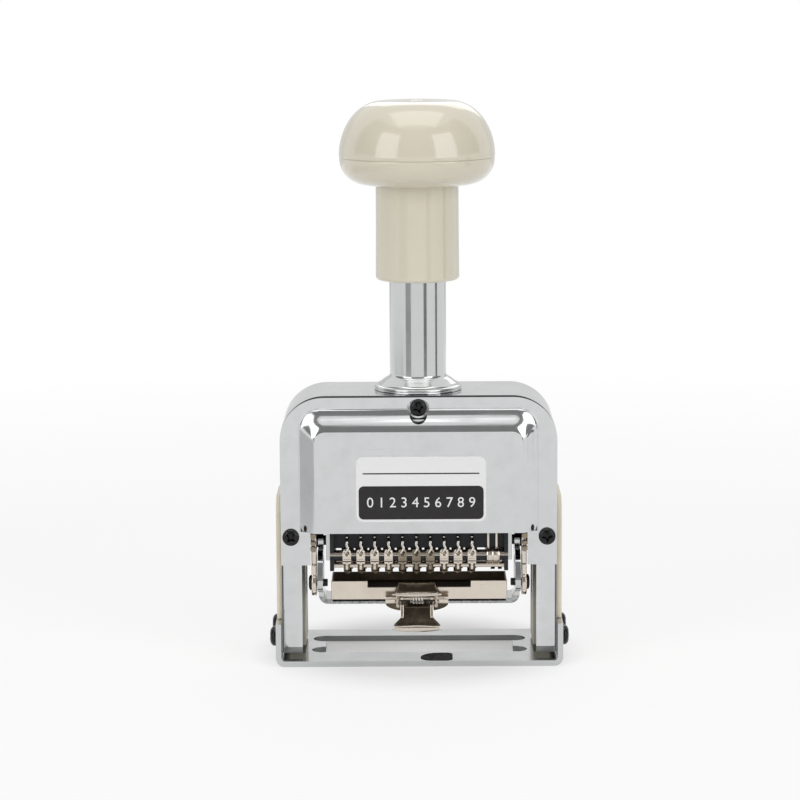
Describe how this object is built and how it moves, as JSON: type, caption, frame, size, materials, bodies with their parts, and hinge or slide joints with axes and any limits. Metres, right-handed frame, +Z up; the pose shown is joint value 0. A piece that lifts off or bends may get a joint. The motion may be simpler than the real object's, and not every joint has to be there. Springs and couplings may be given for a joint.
{
  "type": "numbering machine",
  "caption": "Hand-operated numbering machine: a knob on a sprung plunger drives number wheels down past a swinging ink pad to print through a window in the base.",
  "frame": {"origin": "middle of the underside of the base, under the plunger's axis", "axes": "+Z up along the plunger, +X to the right seen from the front, the front faces -Y"},
  "size_m": [0.0836, 0.0432, 0.155],
  "materials": {
    "chrome": "bright",
    "nickel": "satin",
    "steel": "satin",
    "black_screw": "satin",
    "black_plate": "satin",
    "cream_plastic": "gloss",
    "cream_matte": "satin",
    "label": "matte",
    "type_brass": "satin",
    "felt": "matte",
    "spring": "satin"
  },
  "bodies": {
    "frame": {"base_plate": "chrome", "base_screws": "black_screw", "leg_left": "chrome", "leg_right": "chrome", "guide_insert_left": "cream_matte", "guide_insert_right": "cream_matte", "side_panel_left": "cream_matte", "side_panel_right": "cream_matte", "case_shell": "chrome", "front_cover": "chrome", "rear_cover": "chrome", "cover_screws": "black_screw", "label_plate": "label", "barrel": "chrome", "pad_hanger_left": "nickel", "pad_hanger_right": "nickel", "cam_screws": "black_screw", "return_spring": "spring"},
    "carriage": {"knob_cap": "cream_plastic", "knob_base": "cream_plastic", "knob_sleeve": "cream_plastic", "plunger_rod": "steel", "yoke": "chrome", "carriage_plate_left": "black_plate", "carriage_plate_right": "black_plate", "wheel_axle": "steel", "pawl_rod": "nickel", "tie_rod": "nickel", "spring_plate": "black_plate", "pawl_springs": "spring", "repeat_spool": "nickel", "pivot_screws": "black_screw"},
    "feed": {"feed_lever": "nickel"},
    "pad": {"pad_bracket": "chrome", "pad_tray": "nickel", "ink_pad": "felt", "clip_pin": "nickel", "clip_spring": "spring"},
    "clip_top": {"clip_upper": "nickel"},
    "clip_bottom": {"clip_lower": "nickel"},
    "wheel_1": {"number_wheel_1": "type_brass"},
    "pawl_1": {"detent_pawl_1": "nickel"},
    "wheel_2": {"number_wheel_2": "type_brass"},
    "pawl_2": {"detent_pawl_2": "nickel"},
    "wheel_3": {"number_wheel_3": "type_brass"},
    "pawl_3": {"detent_pawl_3": "nickel"},
    "wheel_4": {"number_wheel_4": "type_brass"},
    "pawl_4": {"detent_pawl_4": "nickel"},
    "wheel_5": {"number_wheel_5": "type_brass"},
    "pawl_5": {"detent_pawl_5": "nickel"},
    "wheel_6": {"number_wheel_6": "type_brass"},
    "pawl_6": {"detent_pawl_6": "nickel"},
    "wheel_7": {"number_wheel_7": "type_brass"},
    "pawl_7": {"detent_pawl_7": "nickel"},
    "wheel_8": {"number_wheel_8": "type_brass"},
    "pawl_8": {"detent_pawl_8": "nickel"},
    "wheel_9": {"number_wheel_9": "type_brass"},
    "pawl_9": {"detent_pawl_9": "nickel"},
    "wheel_10": {"number_wheel_10": "type_brass"},
    "pawl_10": {"detent_pawl_10": "nickel"}
  },
  "joints": [
    {"name": "plunger_slide", "type": "slide", "parent": "frame", "child": "carriage", "axis": [0, 0, -1], "range_m": [0, 0.0225], "stiffness_N_per_m": 400, "springref_m": -0.02, "deforming": ["return_spring"]},
    {"name": "pad_swing", "type": "hinge", "parent": "carriage", "child": "pad", "pos_m": [0, -0.005, 0.033], "axis": [-1, 0, 0], "range_deg": [0, 110.1]},
    {"name": "feed_swing", "type": "hinge", "parent": "carriage", "child": "feed", "pos_m": [0.0192, 0, 0.0322], "axis": [-1, 0, 0], "range_deg": [0, 40.1]},
    {"name": "clip_squeeze", "type": "hinge", "parent": "pad", "child": "clip_top", "pos_m": [-0.00065, -0.0093, 0.0173], "axis": [1, 0, 0], "range_deg": [0, 12], "stiffness_Nm_per_rad": 0.05, "springref_deg": -17.19},
    {"name": "clip_follow", "type": "hinge", "parent": "pad", "child": "clip_bottom", "pos_m": [-0.00065, -0.0093, 0.0173], "axis": [-1, 0, 0], "range_deg": [0, 12.1]},
    {"name": "wheel_1_spin", "type": "hinge", "parent": "carriage", "child": "wheel_1", "pos_m": [-0.02, 0, 0.0322], "axis": [1, 0, 0], "continuous": true},
    {"name": "pawl_1_lift", "type": "hinge", "parent": "carriage", "child": "pawl_1", "pos_m": [-0.02, -0.0116, 0.03], "axis": [-1, 0, 0], "range_deg": [0, 8], "stiffness_Nm_per_rad": 0.01, "springref_deg": -5.73},
    {"name": "wheel_2_spin", "type": "hinge", "parent": "carriage", "child": "wheel_2", "pos_m": [-0.01615, 0, 0.0322], "axis": [1, 0, 0], "continuous": true},
    {"name": "pawl_2_lift", "type": "hinge", "parent": "carriage", "child": "pawl_2", "pos_m": [-0.01615, -0.0116, 0.03], "axis": [-1, 0, 0], "range_deg": [0, 8], "stiffness_Nm_per_rad": 0.01, "springref_deg": -5.73},
    {"name": "wheel_3_spin", "type": "hinge", "parent": "carriage", "child": "wheel_3", "pos_m": [-0.0123, 0, 0.0322], "axis": [1, 0, 0], "continuous": true},
    {"name": "pawl_3_lift", "type": "hinge", "parent": "carriage", "child": "pawl_3", "pos_m": [-0.0123, -0.0116, 0.03], "axis": [-1, 0, 0], "range_deg": [0, 8], "stiffness_Nm_per_rad": 0.01, "springref_deg": -5.73},
    {"name": "wheel_4_spin", "type": "hinge", "parent": "carriage", "child": "wheel_4", "pos_m": [-0.00845, 0, 0.0322], "axis": [1, 0, 0], "continuous": true},
    {"name": "pawl_4_lift", "type": "hinge", "parent": "carriage", "child": "pawl_4", "pos_m": [-0.00845, -0.0116, 0.03], "axis": [-1, 0, 0], "range_deg": [0, 8], "stiffness_Nm_per_rad": 0.01, "springref_deg": -5.73},
    {"name": "wheel_5_spin", "type": "hinge", "parent": "carriage", "child": "wheel_5", "pos_m": [-0.0046, 0, 0.0322], "axis": [1, 0, 0], "continuous": true},
    {"name": "pawl_5_lift", "type": "hinge", "parent": "carriage", "child": "pawl_5", "pos_m": [-0.0046, -0.0116, 0.03], "axis": [-1, 0, 0], "range_deg": [0, 8], "stiffness_Nm_per_rad": 0.01, "springref_deg": -5.73},
    {"name": "wheel_6_spin", "type": "hinge", "parent": "carriage", "child": "wheel_6", "pos_m": [-0.00075, 0, 0.0322], "axis": [1, 0, 0], "continuous": true},
    {"name": "pawl_6_lift", "type": "hinge", "parent": "carriage", "child": "pawl_6", "pos_m": [-0.00075, -0.0116, 0.03], "axis": [-1, 0, 0], "range_deg": [0, 8], "stiffness_Nm_per_rad": 0.01, "springref_deg": -5.73},
    {"name": "wheel_7_spin", "type": "hinge", "parent": "carriage", "child": "wheel_7", "pos_m": [0.0031, 0, 0.0322], "axis": [1, 0, 0], "continuous": true},
    {"name": "pawl_7_lift", "type": "hinge", "parent": "carriage", "child": "pawl_7", "pos_m": [0.0031, -0.0116, 0.03], "axis": [-1, 0, 0], "range_deg": [0, 8], "stiffness_Nm_per_rad": 0.01, "springref_deg": -5.73},
    {"name": "wheel_8_spin", "type": "hinge", "parent": "carriage", "child": "wheel_8", "pos_m": [0.00695, 0, 0.0322], "axis": [1, 0, 0], "continuous": true},
    {"name": "pawl_8_lift", "type": "hinge", "parent": "carriage", "child": "pawl_8", "pos_m": [0.00695, -0.0116, 0.03], "axis": [-1, 0, 0], "range_deg": [0, 8], "stiffness_Nm_per_rad": 0.01, "springref_deg": -5.73},
    {"name": "wheel_9_spin", "type": "hinge", "parent": "carriage", "child": "wheel_9", "pos_m": [0.0108, 0, 0.0322], "axis": [1, 0, 0], "continuous": true},
    {"name": "pawl_9_lift", "type": "hinge", "parent": "carriage", "child": "pawl_9", "pos_m": [0.0108, -0.0116, 0.03], "axis": [-1, 0, 0], "range_deg": [0, 8], "stiffness_Nm_per_rad": 0.01, "springref_deg": -5.73},
    {"name": "wheel_10_spin", "type": "hinge", "parent": "carriage", "child": "wheel_10", "pos_m": [0.01465, 0, 0.0322], "axis": [1, 0, 0], "continuous": true},
    {"name": "pawl_10_lift", "type": "hinge", "parent": "carriage", "child": "pawl_10", "pos_m": [0.01465, -0.0116, 0.03], "axis": [-1, 0, 0], "range_deg": [0, 8], "stiffness_Nm_per_rad": 0.01, "springref_deg": -5.73}
  ],
  "couplings": [
    {"joint": "pad_swing", "follows": "plunger_slide", "rad_per_m": 85.327},
    {"joint": "feed_swing", "follows": "plunger_slide", "rad_per_m": 31.028},
    {"joint": "clip_follow", "follows": "clip_squeeze", "ratio": 1}
  ]
}
